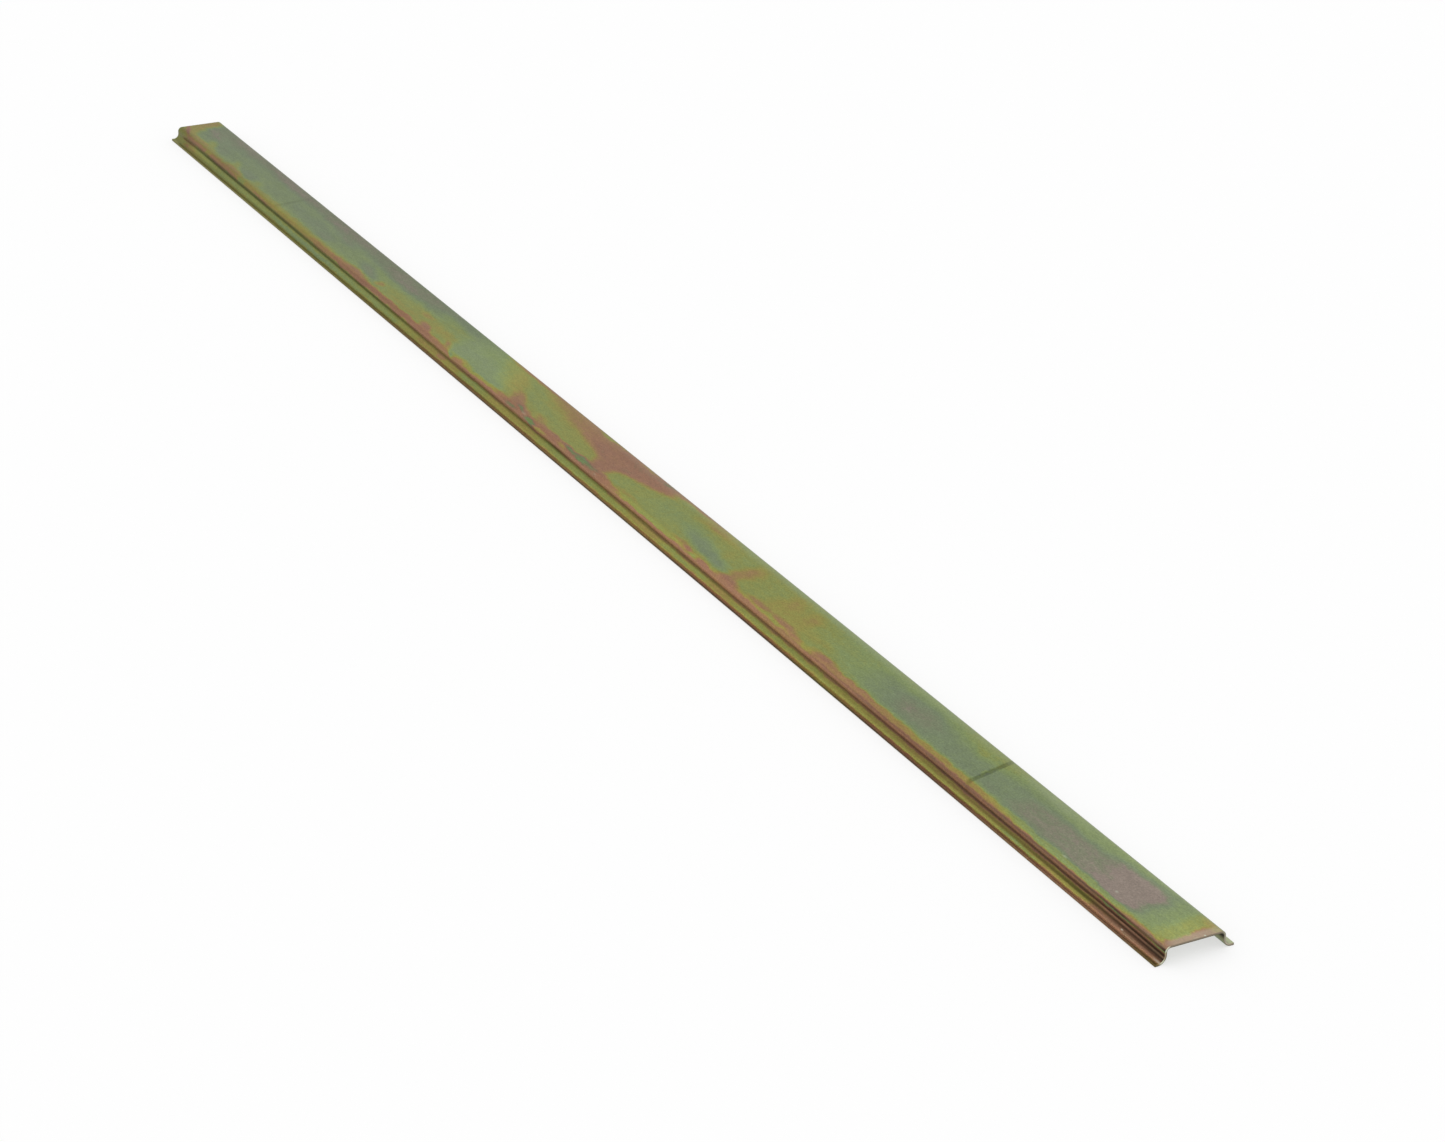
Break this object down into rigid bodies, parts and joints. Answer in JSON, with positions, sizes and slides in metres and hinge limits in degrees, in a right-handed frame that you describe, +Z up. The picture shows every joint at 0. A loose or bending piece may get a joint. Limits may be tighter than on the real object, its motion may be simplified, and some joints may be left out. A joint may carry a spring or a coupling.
{
  "type": "top-hat mounting rail",
  "caption": "Unperforated top-hat steel rail with zinc plate and yellow chromate, which carries clip-on electrical devices inside a cabinet.",
  "frame": {"origin": "middle of the base, level with the undersides of the two flanges, on which the rail lies", "axes": "+X along the rail, +Y across it, +Z up from the flanges to the crown"},
  "size_m": [1, 0.035, 0.0075],
  "materials": {
    "chromated_zinc": "satin zinc plate under a yellow chromate film, iridescent from olive green to teal, mauve and pink-brown"
  },
  "bodies": {
    "root": {"rail": "chromated_zinc"}
  },
  "joints": []
}
